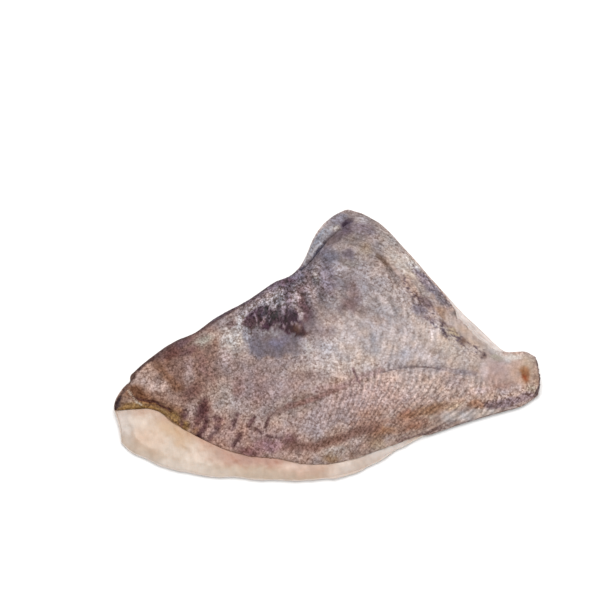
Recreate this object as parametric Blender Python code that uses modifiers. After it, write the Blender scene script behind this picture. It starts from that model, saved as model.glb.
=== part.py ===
"""John dory fillet, lying skin side up: a slab of pale flesh under the thin speckled skin.

Metres, +Z up. The flesh rests on z = 0. The head end points to -X, the tail stub to +X,
the back of the fish to +Y and its belly to -Y. The origin is under the middle of the box.

Both pieces are sheets on one curved grid. A grid line runs along the fillet from the head
end to the tail, or across it from the belly edge to the back edge, so skin and flesh keep
the same facets and the same small gap all over.
"""

import bmesh
import bpy
import numpy as np

MM = 0.001

# Driving dimensions, in millimetres. The outlines below set the length, 225, and the width, 150.
SKIN_THICKNESS = 0.9
SKIN_GAP = 0.3

# Outlines, in millimetres, as points (x, y) that smooth curves run through. MIDDLE is the
# middle of the finished box in their coordinates, and ends up over the origin.
MIDDLE = (0.16, 0.17)
# The back edge climbs the cut behind the head to the nape, then follows the back fin's base
# down to the narrow stub of the tail.
BACK_EDGE = (
    (-102.3, -9.8), (-94.7, -3.6), (-86.8, 2.5), (-77.0, 7.6), (-67.6, 10.7),
    (-55.8, 18.0), (-39.1, 25.8), (-22.7, 35.2), (-10.6, 41.0), (-5.5, 48.0),
    (-1.0, 56.8), (5.6, 65.5), (12.0, 71.4), (18.2, 74.7), (25.5, 72.4),
    (34.3, 66.3), (47.8, 49.0), (61.7, 29.6), (74.8, 10.9), (84.2, -0.4),
    (91.0, -9.0), (94.8, -12.4), (100.0, -13.3), (105.4, -13.8), (110.5, -17.0),
)
# The skin stops short of the belly edge, and leaves an apron of bare flesh outside it.
SKIN_EDGE = (
    (-112.5, -28.3), (-103.0, -28.6), (-94.5, -28.8), (-89.5, -30.6), (-82.0, -37.9),
    (-75.1, -43.6), (-65.9, -49.3), (-50.4, -57.6), (-30.4, -62.4), (-9.6, -67.4),
    (4.9, -66.6), (22.0, -62.4), (37.3, -57.6), (57.7, -50.4), (78.2, -45.4),
    (92.0, -42.6), (101.6, -40.2), (110.1, -35.6),
)
BELLY_EDGE = (
    (-110.3, -45.6), (-107.0, -49.8), (-98.0, -55.6), (-91.3, -59.6), (-80.5, -64.0),
    (-70.4, -67.2), (-52.3, -69.9), (-31.3, -73.3), (-10.2, -74.7), (4.3, -73.8),
    (18.9, -69.3), (33.8, -61.4), (44.0, -56.9), (57.7, -52.6), (78.2, -47.4),
    (92.0, -44.4), (101.6, -42.1), (109.4, -37.6),
)
NAPE_X = 18.2

# How far the ends bow out of the straight line between their corners, in millimetres.
TIP_BOW = -3.6
APRON_BOW = 0.9
TAIL_BOW = 2.4
END_REACH = 14

# Flesh thickness away from the rims, in millimetres, at x along the fillet.
CROWN = ((-112.5, 5.0), (-92.0, 7.0), (-70.0, 9.5), (-40.0, 12.8), (-8.0, 15.4), (22.0, 15.4),
         (52.0, 12.8), (80.0, 9.8), (96.0, 8.6), (112.5, 8.4))
# The apron's thickness at its outer rim and on its flat part, and the width of its rounding.
APRON_RIM = 1.8
APRON_FLAT = 4.0
APRON_ROUNDING = 7.0
# Each rim's height as a share of the crown, and how far in its rounded shoulder reaches.
BELLY_SHOULDER = 30.0
HEAD_CUT = (0.50, 17.0)
BACK_CUT = (0.26, 24.0)
TIP_CUT = (0.62, 12.0)
TAIL_CUT = (0.66, 7.0)

# Furrows and swellings of the surface, in millimetres: a furrow is (points along it, depth,
# half-width), and a swelling is (centre, radii, height).
LATERAL_LINE = (((80.0, -25.0), (52.0, -20.6), (30.0, -22.4), (4.0, -30.0), (-18.0, -36.0)), 1.1, 2.8)
BELLY_FURROW = (((66.0, -38.6), (52.0, -45.0), (26.0, -53.0), (4.0, -58.2), (-18.0, -60.2)), 1.1, 3.2)
CHEEK_FURROW = (((-101.0, -20.6), (-91.0, -24.6), (-84.5, -29.0), (-80.0, -35.0)), 2.0, 2.8)
SHOULDER_FURROW = (((-86.0, -4.0), (-80.0, -13.0), (-75.0, -24.0)), 1.2, 4.0)
NAPE_FURROW = (((-7.0, 43.5), (-1.0, 51.0), (7.0, 58.0), (15.0, 63.6), (20.0, 68.0)), 2.2, 3.4)
FIN_FURROW = (((28.0, 54.0), (36.0, 42.0), (42.0, 29.0), (56.0, 13.0), (72.0, -4.0)), 0.9, 3.6)
FURROWS = (LATERAL_LINE, BELLY_FURROW, CHEEK_FURROW, SHOULDER_FURROW, NAPE_FURROW, FIN_FURROW)
CHEEK = ((-93.0, -11.5), (11.0, 9.0), 2.6)
NAPE_ROLL = ((4.0, 62.0), (7.0, 12.0), 1.4)
TAIL_HOLLOW = ((104.5, -27.0), (3.6, 6.5), -1.6)
SWELLINGS = (CHEEK, NAPE_ROLL, TAIL_HOLLOW)

# The grid: lines along the fillet's length, and across the apron and the skin.
LENGTH_CELLS = 58
APRON_CELLS = 3
SKIN_CELLS = 25
NAPE_CROWDING = 0.045

# Seams between the three muscles on the underside: the grid lines they follow, counted from
# the skin's edge, and how deep they are in the middle and at the ends.
SEAM_LINES = (8, 16)
SEAM_DEPTH = 1.3
SEAM_END_DEPTH = 0.4

FLESH_COLOUR = (0.72, 0.56, 0.46)
SKIN_COLOUR = (0.37, 0.28, 0.26)


def smooth_curve(points, x):
    """The height at x of the curve through the points: cubic arcs that meet with one slope."""
    knots, heights = np.array(points, float).T
    steps = np.diff(knots)
    chords = np.diff(heights) / steps
    slopes = np.concatenate((chords[:1], chords))
    slopes[1:-1] = (chords[:-1] * steps[1:] + chords[1:] * steps[:-1]) / (steps[1:] + steps[:-1])
    i = np.clip(np.searchsorted(knots, x, side="right") - 1, 0, len(steps) - 1)
    t = (x - knots[i]) / steps[i]
    rise = heights[i + 1] - heights[i]
    return (
        heights[i]
        + rise * t * t * (3 - 2 * t)
        + steps[i] * t * (1 - t) * (slopes[i] * (1 - t) - slopes[i + 1] * t)
    )


def edge_line(edge, s):
    """The outline's points at the shares s of its own length in x."""
    x = edge[0][0] + (edge[-1][0] - edge[0][0]) * s
    return np.stack((x, smooth_curve(edge, x)), axis=-1)


def stations():
    """Shares of the length for the grid lines, crowded where the outline climbs to the nape."""
    even = np.linspace(0.0, 1.0, LENGTH_CELLS + 1)
    return even + NAPE_CROWDING * np.sin(2 * np.pi * even) * np.where(even < 0.5, 0.55, 1.0)


def end_bow(s, across):
    """How far the covered grid bows along x near the head end and the tail."""
    arch = np.sin(np.pi * across)
    return arch * (TIP_BOW * (1 - across) * (1 - s) ** END_REACH + TAIL_BOW * s**END_REACH)


def fillet_plan():
    """Grid points (x, y) from the belly edge to the back edge, one row per line along."""
    s = stations()
    belly, skin, back = (edge_line(edge, s) for edge in (BELLY_EDGE, SKIN_EDGE, BACK_EDGE))
    apron_share = np.linspace(0, 1, APRON_CELLS + 1)[:-1, None, None]
    skin_share = np.linspace(0, 1, SKIN_CELLS + 1)[:, None, None]
    apron = belly + (skin - belly) * apron_share
    covered = skin + (back - skin) * skin_share
    apron[..., 0] += APRON_BOW * np.sin(np.pi * apron_share[..., 0]) * (1 - s) ** END_REACH
    covered[..., 0] += end_bow(s, skin_share[..., 0])
    return np.concatenate((apron, covered))


def distance_to(line, points):
    """The shortest distance from each point to a line of straight stretches."""
    starts, ways = line[:-1], np.diff(line, axis=0)
    offsets = points[..., None, :] - starts
    along = np.clip((offsets * ways).sum(-1) / (ways**2).sum(-1), 0, 1)
    return np.linalg.norm(offsets - along[..., None] * ways, axis=-1).min(-1)


def shoulder(distance, reach):
    """Rises from 0 at a rim to 1 at its reach, steepest at the rim."""
    return 1 - (1 - np.clip(distance / reach, 0, 1)) ** 2.2


def furrow_depth(furrow, points):
    path, depth, half_width = furrow
    return depth * np.exp(-((distance_to(np.array(path), points) / half_width) ** 2))


def swelling_height(swelling, points):
    centre, radii, height = swelling
    return height * np.exp(-(((points - centre) / radii) ** 2).sum(-1))


def flesh_top(plan):
    """Height of the flesh over z = 0 at each grid point, in millimetres."""
    belly, skin_edge, tip, tail = plan[0], plan[APRON_CELLS], plan[APRON_CELLS:, 0], plan[:, -1]
    back = plan[-1]
    head_cut, back_cut = back[back[:, 0] <= NAPE_X], back[back[:, 0] >= NAPE_X]
    apron = APRON_RIM + (APRON_FLAT - APRON_RIM) * shoulder(distance_to(belly, plan), APRON_ROUNDING)
    crown = smooth_curve(CROWN, plan[..., 0])
    for rim, (share, reach) in ((head_cut, HEAD_CUT), (back_cut, BACK_CUT), (tip, TIP_CUT),
                                (tail, TAIL_CUT)):
        crown *= share + (1 - share) * shoulder(distance_to(rim, plan), reach)
    inside_skin = np.arange(len(plan))[:, None] >= APRON_CELLS
    rise = shoulder(distance_to(skin_edge, plan), BELLY_SHOULDER) * inside_skin
    height = apron + np.maximum(crown - apron, 0) * rise
    height -= sum(furrow_depth(furrow, plan) for furrow in FURROWS) * rise
    height += sum(swelling_height(swelling, plan) for swelling in SWELLINGS) * rise
    return height


def flesh_base(plan):
    """Height of the flesh's underside: flat on z = 0, but for the seams between its muscles."""
    base = np.zeros(plan.shape[:2])
    deepening = np.sin(np.pi * stations())
    for line in SEAM_LINES:
        base[APRON_CELLS + line] = SEAM_END_DEPTH + (SEAM_DEPTH - SEAM_END_DEPTH) * deepening
    return base


def grid_object(name, rows, columns, collection):
    """A flat grid of the wanted number of points, whose vertices run row by row."""
    mesh = bpy.data.meshes.new(name)
    grid = bmesh.new()
    bmesh.ops.create_grid(grid, x_segments=columns - 1, y_segments=rows - 1, size=0.5)
    bmesh.ops.triangulate(grid, faces=grid.faces[:], quad_method="FIXED")
    grid.to_mesh(mesh)
    grid.free()
    piece = bpy.data.objects.new(name, mesh)
    collection.objects.link(piece)
    return piece


def place_vertices(mesh, points):
    """Moves the mesh's vertices to the points, given in millimetres."""
    mesh.vertices.foreach_set("co", (points * MM).astype(np.float32).ravel())
    mesh.update()


def make_flesh(surface, base, collection, material):
    """The flesh: the whole sheet drawn down to its base, which makes the walls too."""
    rows, columns, _ = surface.shape
    flesh = grid_object("flesh", rows, columns, collection)
    place_vertices(flesh.data, surface.reshape(-1, 3))
    slab = bmesh.new()
    slab.from_mesh(flesh.data)
    grid_point = slab.verts.layers.int.new("grid_point")
    for vertex in slab.verts:
        vertex[grid_point] = vertex.index
    lowered = bmesh.ops.extrude_face_region(slab, geom=slab.faces[:])["geom"]
    for vertex in (v for v in lowered if isinstance(v, bmesh.types.BMVert)):
        vertex.co.z = base.flat[vertex[grid_point]] * MM
    bmesh.ops.recalc_face_normals(slab, faces=slab.faces)
    flats = [face for face in slab.faces if all(vertex.co.z == 0.0 for vertex in face.verts)]
    bmesh.ops.dissolve_faces(slab, faces=flats)
    bmesh.ops.triangulate(slab, faces=[face for face in slab.faces if len(face.verts) == 4])
    slab.to_mesh(flesh.data)
    slab.free()
    flesh.data.materials.append(material)
    return flesh


def make_skin(surface, collection, material):
    """The skin: the covered part of the sheet, lifted off the flesh by the gap and thickened."""
    covered = surface[APRON_CELLS:]
    rows, columns, _ = covered.shape
    skin = grid_object("skin", rows, columns, collection)
    place_vertices(skin.data, covered.reshape(-1, 3))
    lift = skin.modifiers.new("gap_over_flesh", "DISPLACE")
    lift.direction = "NORMAL"
    lift.mid_level = 0.0
    lift.strength = SKIN_GAP * MM
    wall = skin.modifiers.new("skin_thickness", "SOLIDIFY")
    wall.thickness = SKIN_THICKNESS * MM
    wall.offset = 1.0
    skin.data.materials.append(material)
    return skin


def food_material(name, colour, roughness):
    material = bpy.data.materials.new(name)
    material.use_nodes = True
    shader = material.node_tree.nodes["Principled BSDF"]
    shader.inputs["Base Color"].default_value = (*colour, 1.0)
    shader.inputs["Roughness"].default_value = roughness
    shader.inputs["Metallic"].default_value = 0.0
    return material


def main():
    for old in list(bpy.data.objects):
        bpy.data.objects.remove(old)
    fillet = bpy.data.collections.new("john_dory_fillet")
    bpy.context.scene.collection.children.link(fillet)
    plan = fillet_plan()
    surface = np.concatenate((plan - MIDDLE, flesh_top(plan)[..., None]), axis=-1)
    flesh_look = food_material("fish_flesh", FLESH_COLOUR, 0.35)
    make_flesh(surface, flesh_base(plan), fillet, flesh_look)
    make_skin(surface, fillet, food_material("fish_skin", SKIN_COLOUR, 0.45))


main()
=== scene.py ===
# %% [markdown]
# # A john dory fillet, skin side up
#
# The fillet is a thin wedge of pale flesh under a grey-brown skin. Its high back rises to the
# nape, and the long cut along the back fin runs down to a narrow tail stub. This lesson first
# loads the fixed frame, which holds the plain solids and their sizes. Each solid then gets a finer
# surface in its place, and the colours and the moist finish come last.

# %% Load the frame
import math

import bpy
import numpy as np
from mathutils import Euler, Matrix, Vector


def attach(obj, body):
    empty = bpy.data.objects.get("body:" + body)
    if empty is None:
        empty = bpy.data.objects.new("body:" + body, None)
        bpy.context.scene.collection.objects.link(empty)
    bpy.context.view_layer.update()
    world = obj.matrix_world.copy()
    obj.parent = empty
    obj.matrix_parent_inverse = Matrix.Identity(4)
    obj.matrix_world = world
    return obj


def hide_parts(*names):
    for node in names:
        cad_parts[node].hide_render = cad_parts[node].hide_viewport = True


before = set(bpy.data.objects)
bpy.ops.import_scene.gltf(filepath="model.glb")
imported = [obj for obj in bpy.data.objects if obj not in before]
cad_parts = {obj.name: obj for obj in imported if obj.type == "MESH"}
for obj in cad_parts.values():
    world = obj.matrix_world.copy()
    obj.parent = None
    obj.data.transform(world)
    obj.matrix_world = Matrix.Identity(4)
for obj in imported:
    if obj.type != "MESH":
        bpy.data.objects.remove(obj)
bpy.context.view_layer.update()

# %% [markdown]
# ## Outlines
#
# A fillet has three edges that matter: the belly edge of the flesh, the edge where the skin stops
# short of it, and the back edge, from the cut behind the head over the nape to the tail. Each
# could be drawn as a Bezier curve by hand. Here each is a short list of points with a smooth curve
# through them, so that any number of grid lines can be read from it later. All lengths are in
# millimetres until a mesh is made.

# %% Edge curves
MM = 0.001
MIDDLE = np.array((0.16, 0.17))
NAPE_X = 18.2
BACK_EDGE = (
    (-102.3, -9.8), (-94.7, -3.6), (-86.8, 2.5), (-77, 7.6), (-67.6, 10.7),
    (-55.8, 18), (-39.1, 25.8), (-22.7, 35.2), (-10.6, 41), (-5.5, 48),
    (-1, 56.8), (5.6, 65.5), (12, 71.4), (18.2, 74.7), (25.5, 72.4),
    (34.3, 66.3), (47.8, 49), (61.7, 29.6), (74.8, 10.9), (84.2, -0.4),
    (91, -9), (94.8, -12.4), (100, -13.3), (105.4, -13.8), (110.5, -17),
)
SKIN_EDGE = (
    (-112.5, -28.3), (-103, -28.6), (-94.5, -28.8), (-89.5, -30.6), (-82, -37.9),
    (-75.1, -43.6), (-65.9, -49.3), (-50.4, -57.6), (-30.4, -62.4), (-9.6, -67.4),
    (4.9, -66.6), (22, -62.4), (37.3, -57.6), (57.7, -50.4), (78.2, -45.4),
    (92, -42.6), (101.6, -40.2), (110.1, -35.6),
)
BELLY_EDGE = (
    (-110.3, -45.6), (-107, -49.8), (-98, -55.6), (-91.3, -59.6), (-80.5, -64),
    (-70.4, -67.2), (-52.3, -69.9), (-31.3, -73.3), (-10.2, -74.7), (4.3, -73.8),
    (18.9, -69.3), (33.8, -61.4), (44, -56.9), (57.7, -52.6), (78.2, -47.4),
    (92, -44.4), (101.6, -42.1), (109.4, -37.6),
)


def smooth_curve(points, x):
    """Height at x of the curve through the points. Between two points it is the cubic that has
    their heights and slopes, and a point's slope is the mean of its two chords' slopes."""
    knots, heights = np.array(points, float).T
    steps = np.diff(knots)
    chords = np.diff(heights) / steps
    slopes = np.concatenate((chords[:1], chords))
    slopes[1:-1] = (chords[:-1] * steps[1:] + chords[1:] * steps[:-1]) / (steps[1:] + steps[:-1])
    i = np.clip(np.searchsorted(knots, x, side="right") - 1, 0, len(steps) - 1)
    t = (x - knots[i]) / steps[i]
    rise = heights[i + 1] - heights[i]
    return (heights[i] + rise * t * t * (3 - 2 * t)
            + steps[i] * t * (1 - t) * (slopes[i] * (1 - t) - slopes[i + 1] * t))


def edge_line(edge, s):
    """Points of an edge at the shares s of its reach in x."""
    x = edge[0][0] + (edge[-1][0] - edge[0][0]) * s
    return np.stack((x, smooth_curve(edge, x)), axis=-1)


back_heights = edge_line(BACK_EDGE, np.linspace(0, 1, 99))[:, 1]
print("back edge rises to", round(float(back_heights.max()), 1))

# %% [markdown]
# ## Unevenness
#
# Nothing on a fish is quite smooth: knife cuts wander, muscle swells, and pigment gathers in
# clouds. Blender's noise textures could displace the surface, but the shape would then live in a
# modifier. A small noise function in numpy serves shape and colour alike. It joins random heights
# on a square lattice with smooth curves, and a few finer copies of it add up to a cloud.

# %% Noise helpers
def smooth_step(low, high, value):
    """0 below low, 1 above high, and the S-curve 3t^2 - 2t^3 between them."""
    t = np.clip((value - low) / (high - low), 0, 1)
    return t * t * (3 - 2 * t)


def lattice_noise(x, y, size, seed):
    """Noise from -1 to 1: random heights on a lattice of the given size, turned a little by the
    seed, and joined by S-curves first across and then along."""
    heights = np.random.default_rng(seed).uniform(-1, 1, (128, 128))
    turn = 0.7 * seed
    u = (x * np.cos(turn) - y * np.sin(turn)) / size + 500
    v = (x * np.sin(turn) + y * np.cos(turn)) / size + 500
    i, j = np.floor(u).astype(int), np.floor(v).astype(int)
    a, b = smooth_step(0, 1, u - i), smooth_step(0, 1, v - j)
    near, far = i % 128, (i + 1) % 128
    low, high = j % 128, (j + 1) % 128
    return ((heights[near, low] * (1 - a) + heights[far, low] * a) * (1 - b)
            + (heights[near, high] * (1 - a) + heights[far, high] * a) * b)


def cloud(points, size, seed, layers=3):
    """Noise in layers: each next one has half the size and 0.55 of the height of the last."""
    total = 0.0
    for k in range(layers):
        finer = lattice_noise(points[..., 0], points[..., 1], size / 2**k, seed + k)
        total = total + 0.55**k * finer
    return total


def frayed(line, amount, size, seed):
    """The line with its y shifted by noise along x, faded out at both ends."""
    fade = np.sin(np.pi * np.linspace(0, 1, len(line))) ** 0.3
    shift = cloud(np.stack((line[:, 0], 0 * line[:, 0]), -1), size, seed) * amount * fade
    return np.stack((line[:, 0], line[:, 1] + shift), axis=-1)


# %% [markdown]
# ## The grid
#
# Skin and flesh follow the same curved grid: columns cross the fillet from the belly edge to the
# back edge, and rows run along it. A flat grid with a shape cut out of it would give ragged rims,
# while this one puts a row exactly on each edge. The skin's copy is the finer, because its scales
# and wrinkles are small. Along the last part of the back, the skin was trimmed a few millimetres
# short of the flesh, so the skin's grid ends early there.

# %% Plan grids
TIP_BOW = -3.6
TIP_NOTCH = 1.5
APRON_BOW = 0.9
TAIL_BOW = 1.4
END_REACH = 14
NAPE_CROWDING = 0.045
BACK_TRIM = ((-110, 0), (30, 0), (58, 0.2), (70, 1.6), (76, 4.6), (84, 5),
             (90, 3.4), (95, 0.6), (100, 0), (112, 0))


def stations(columns):
    """Shares along the fillet for its columns, crowded where the outline climbs to the nape: even
    shares plus a sine of them."""
    even = np.linspace(0, 1, columns)
    return even + NAPE_CROWDING * np.sin(2 * np.pi * even) * np.where(even < 0.5, 0.55, 1.0)


def covered_plan(skin, back, s, rows):
    """Rows at even shares from the skin's edge to the back edge. Near the ends each row's x is
    shifted by a half sine of its share, so the head end and the tail bow out. A fine cloud frays
    the tail's cut, and a bell curve notches the head end."""
    across = np.linspace(0, 1, rows)[:, None]
    plan = skin + (back - skin) * across[..., None]
    arch = np.sin(np.pi * across)
    plan[..., 0] += arch * (TIP_BOW * (1 - across) * (1 - s) ** END_REACH + TAIL_BOW * s**END_REACH)
    plan[..., 0] += 0.45 * arch * cloud(plan * (0, 1), 1.3, 19) * s**60
    plan[..., 0] += TIP_NOTCH * np.exp(-(((across - 0.8) / 0.1) ** 2)) * (1 - s) ** 50
    return plan


def apron_plan(belly, skin, s, rows):
    """Rows at even shares from the belly edge up to, but not on, the skin's edge."""
    across = np.linspace(0, 1, rows + 1)[:-1, None]
    plan = belly + (skin - belly) * across[..., None]
    plan[..., 0] += APRON_BOW * np.sin(np.pi * across) * (1 - s) ** END_REACH
    return plan


def wrap(x):
    """0 where the belly's flesh is bare, and 1 towards the tail, where the skin covers it."""
    return smooth_step(42, 54, x)


def fine_edges(columns):
    """The flesh's belly, skin and back edges with knife wander, and the skin's own two edges. Its
    lower one leaves the flesh's towards the tail, where the skin wraps the belly edge, and its
    upper one is trimmed."""
    s = stations(columns)
    belly = frayed(edge_line(BELLY_EDGE, s), 0.55, 9.0, 3)
    skin = frayed(edge_line(SKIN_EDGE, s), 0.45, 6.0, 11)
    back = frayed(edge_line(BACK_EDGE, s), 0.35, 8.0, 7)
    wrapped = skin.copy()
    wrapped[:, 1] += (smooth_curve(BELLY_EDGE, skin[:, 0]) - 0.4 - skin[:, 1]) * wrap(skin[:, 0])
    belly[:, 1] += 1.1 * wrap(belly[:, 0])
    trim = smooth_curve(BACK_TRIM, back[:, 0])
    trim = trim * (1 + 0.25 * cloud(back, 6.0, 23))
    trimmed = back - np.stack((0.75 * trim, 0.65 * trim), axis=-1)
    return s, belly, skin, back, wrapped, trimmed


# %% [markdown]
# ## Height of the surface
#
# The fillet is thickest under the middle of the back and thins to every rim. The height starts
# from a crown along the length, lowered near each rim by a rounded shoulder. Furrows follow the
# lateral line, the fold at the nape and the muscle under the fin, and swellings stand for the
# cheek end and the rolled nape. Sculpting could do the same, but named furrows can be measured and
# moved.

# %% Named furrows and swellings
CROWN = ((-112.5, 5), (-92, 7), (-70, 9.5), (-40, 12.8), (-8, 15.4), (22, 15.4),
         (52, 12.8), (80, 9.8), (96, 8.6), (112.5, 8.4))
APRON_RIM, APRON_FLAT, APRON_ROUNDING = 1.8, 4.0, 7.0
BELLY_SHOULDER = 30.0
HEAD_CUT, BACK_CUT, TIP_CUT, TAIL_CUT = (0.50, 17.0), (0.26, 24.0), (0.62, 12.0), (0.66, 7.0)

LATERAL_LINE = ((80, -25), (52, -20.6), (30, -22.4), (4, -30), (-18, -36))
BELLY_FURROW = ((66, -38.6), (52, -45), (26, -53), (4, -58.2), (-18, -60.2))
CHEEK_FURROW = ((-101, -20.6), (-91, -24.6), (-84.5, -29), (-80, -35))
SHOULDER_FURROW = ((-86, -4), (-80, -13), (-75, -24))
NAPE_FURROW = ((-7, 43.5), (-1, 51), (7, 58), (15, 63.6), (20, 68))
FIN_FURROW = ((28, 54), (36, 42), (42, 29), (56, 13), (72, -4))
FURROWS = (
    (LATERAL_LINE, 1.1, 2.8), (BELLY_FURROW, 1.1, 3.2), (CHEEK_FURROW, 2, 2.8),
    (SHOULDER_FURROW, 1.2, 4), (NAPE_FURROW, 2.2, 3.4), (FIN_FURROW, 0.9, 3.6),
)
CHEEK = ((-93, -11.5), (11, 9), 2.6)
NAPE_ROLL = ((4, 62), (7, 12), 1.4)
TAIL_HOLLOW = ((104.5, -27), (3.6, 6.5), -1.6)


# %% Height function
def distance_to(line, points):
    """Shortest distance from each point to a line of straight stretches."""
    line = np.asarray(line, float)
    best = np.full(points.shape[:-1], 1e9)
    for start, end in zip(line[:-1], line[1:]):
        way = end - start
        along = np.clip(((points - start) @ way) / (way @ way), 0, 1)
        best = np.minimum(best, np.linalg.norm(points - start - along[..., None] * way, axis=-1))
    return best


def furrow(points, path, half_width):
    """1 along the path, falling off as a bell curve of the distance from it."""
    return np.exp(-((distance_to(path, points) / half_width) ** 2))


def swelling(points, centre, radii):
    """1 at the centre, falling off as a bell curve of the distance in radii."""
    return np.exp(-(((points - centre) / radii) ** 2).sum(-1))


def shoulder(distance, reach):
    """Rises from 0 at a rim to 1 at its reach, steepest at the rim."""
    return 1 - (1 - np.clip(distance / reach, 0, 1)) ** 2.2


coarse = stations(90)
BELLY_RIM, SKIN_RIM, BACK_RIM = (edge_line(e, coarse) for e in (BELLY_EDGE, SKIN_EDGE, BACK_EDGE))
END_ROWS = np.concatenate((apron_plan(BELLY_RIM, SKIN_RIM, coarse, 4),
                           covered_plan(SKIN_RIM, BACK_RIM, coarse, 24)))
TIP_RIM, TAIL_RIM = END_ROWS[4:, 0], END_ROWS[:, -1]
HEAD_RIM = BACK_RIM[BACK_RIM[:, 0] <= NAPE_X]
FIN_RIM = BACK_RIM[BACK_RIM[:, 0] >= NAPE_X]


def flesh_height(points, covered):
    """Height over the board: the apron's flat, plus the crown's rise above it where the skin
    covers it, times a shoulder from the skin's edge, less the furrows, plus the swellings."""
    apron = APRON_RIM + (APRON_FLAT - APRON_RIM) * shoulder(distance_to(BELLY_RIM, points),
                                                            APRON_ROUNDING)
    crown = smooth_curve(CROWN, points[..., 0])
    for rim, (share, reach) in ((HEAD_RIM, HEAD_CUT), (FIN_RIM, BACK_CUT), (TIP_RIM, TIP_CUT),
                                (TAIL_RIM, TAIL_CUT)):
        crown *= share + (1 - share) * shoulder(distance_to(rim, points), reach)
    rise = shoulder(distance_to(SKIN_RIM, points), BELLY_SHOULDER) * covered
    height = apron + np.maximum(crown - apron, 0) * rise
    for path, depth, half_width in FURROWS:
        height -= depth * furrow(points, path, half_width) * rise
    for centre, radii, size in (CHEEK, NAPE_ROLL, TAIL_HOLLOW):
        height += size * swelling(points, centre, radii) * rise
    return height


# %% [markdown]
# ## Closed slabs
#
# Both pieces are closed slabs: a top surface, an underside and a wall round the rim. Solidify
# makes such a slab from one surface, but it can't give the rim a cut face of its own shape. This
# helper takes both surfaces as grids of points and joins them with rings, which a profile pushes
# outwards so that a cut side can bulge.

# %% Slab mesh
def rim_of(grid):
    """The grid's border points, in order anticlockwise seen from above."""
    return np.concatenate((grid[0, :-1], grid[:-1, -1], grid[-1, :0:-1], grid[:0:-1, 0]))


def outward(rim):
    """Level unit normals of a closed rim: the chord between the neighbours, turned clockwise."""
    chord = np.roll(rim, -1, axis=0)[:, :2] - np.roll(rim, 1, axis=0)[:, :2]
    normal = np.stack((chord[:, 1], -chord[:, 0]), axis=-1)
    return normal / np.maximum(np.linalg.norm(normal, axis=-1, keepdims=True), 1e-9)


def wall_rings(top, bottom, bulges):
    """Rings between the two rims. Ring k lies at an even share of the way down, and its bulge
    pushes it outwards."""
    upper, lower = rim_of(top), rim_of(bottom)
    shares = np.linspace(0, 1, len(bulges) + 2)[1:-1, None, None]
    rings = upper + (lower - upper) * shares
    rings[..., :2] += outward(upper) * np.asarray(bulges)[..., None]
    return rings


def slab_faces(rows, columns, rings):
    """Four-sided faces of the top, the underside and the wall, all with their outside out."""
    index = np.arange(rows * columns).reshape(rows, columns)
    top = np.stack((index[:-1, :-1], index[:-1, 1:], index[1:, 1:], index[1:, :-1]), -1)
    under = top[..., ::-1] + rows * columns
    rim = rim_of(index)
    hoops = np.arange(rings * len(rim)).reshape(rings, -1) + 2 * rows * columns
    hoops = np.concatenate((rim[None], hoops, rim[None] + rows * columns))
    ahead = np.roll(hoops, -1, 1)
    wall = np.stack((hoops[:-1], hoops[1:], ahead[1:], ahead[:-1]), -1)
    return np.concatenate((top.reshape(-1, 4), under.reshape(-1, 4), wall.reshape(-1, 4)))


def slab_object(name, top, bottom, rings):
    """A mesh object from two grids and the rings between them, given in millimetres."""
    points = np.concatenate((top.reshape(-1, 3), bottom.reshape(-1, 3), rings.reshape(-1, 3)))
    points = (points - (*MIDDLE, 0)) * MM
    faces = slab_faces(*top.shape[:2], len(rings))
    mesh = bpy.data.meshes.new(name)
    mesh.vertices.add(len(points))
    mesh.vertices.foreach_set("co", points.astype(np.float32).ravel())
    mesh.loops.add(faces.size)
    mesh.loops.foreach_set("vertex_index", faces.astype(np.int32).ravel())
    mesh.polygons.add(len(faces))
    mesh.polygons.foreach_set("loop_start", np.arange(0, faces.size, 4, dtype=np.int32))
    mesh.update(calc_edges=True)
    mesh.validate()
    mesh.shade_smooth()
    piece = bpy.data.objects.new(name, mesh)
    bpy.context.scene.collection.objects.link(piece)
    print(name, "has", len(mesh.polygons), "faces")
    return piece


def store(piece, name, values, kind):
    """Keeps one value a vertex on the mesh under a name, for the material to read."""
    field = {"FLOAT": "value", "FLOAT_VECTOR": "vector", "FLOAT_COLOR": "color"}[kind]
    layer = piece.data.attributes.new(name, kind, "POINT")
    layer.data.foreach_set(field, np.asarray(values, np.float32).ravel())


# %% [markdown]
# ## Relief of the skin
#
# Over the ribs the skin shows short wrinkles, and over the muscle it shows the rows of the flesh
# below: slanted above the lateral line, arced there towards the tail, and bowed under it. The
# relief is kept in the mesh where it is wider than a millimetre, so that the silhouette and the
# shadows carry it, and only the scales are left to the material.

# %% Muscle rows
def combed(distance, pitch, half_width):
    """Narrow grooves at even steps of a distance: 1 at the middle of each groove, falling off as a
    bell curve."""
    offset = ((distance / pitch) % 1 - 0.5) * pitch
    return np.exp(-((offset / half_width) ** 2))


MIDLINE = ((-120, -30), (-60, -38), (-20, -38), (0, -32.5), (14, -27.5),
           (30, -21.5), (50, -20), (60, -21.5), (78, -26.5), (115, -28))
SLANT, MORE_SLANT, ARC, ARC_REACH, BOW = 0.16, 0.34, 0.0115, 52, 0.027


def row_coordinate(points):
    """Distance along the fillet, counted at the midline: x, shifted by a bow below the line and,
    above it, by a slant that turns into an arc towards the tail, so that equal values lie along one
    row of muscle."""
    height = points[..., 1] - smooth_curve(MIDLINE, points[..., 0])
    above = np.maximum(height, 0)
    slant = (SLANT + MORE_SLANT * smooth_step(-40, 30, points[..., 0])) * above
    arc = ARC * above * (above - ARC_REACH)
    slant = slant + (arc - slant) * smooth_step(-25, 45, points[..., 0])
    bow = BOW * np.minimum(height, 0) ** 2
    return points[..., 0] + slant + bow


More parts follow.
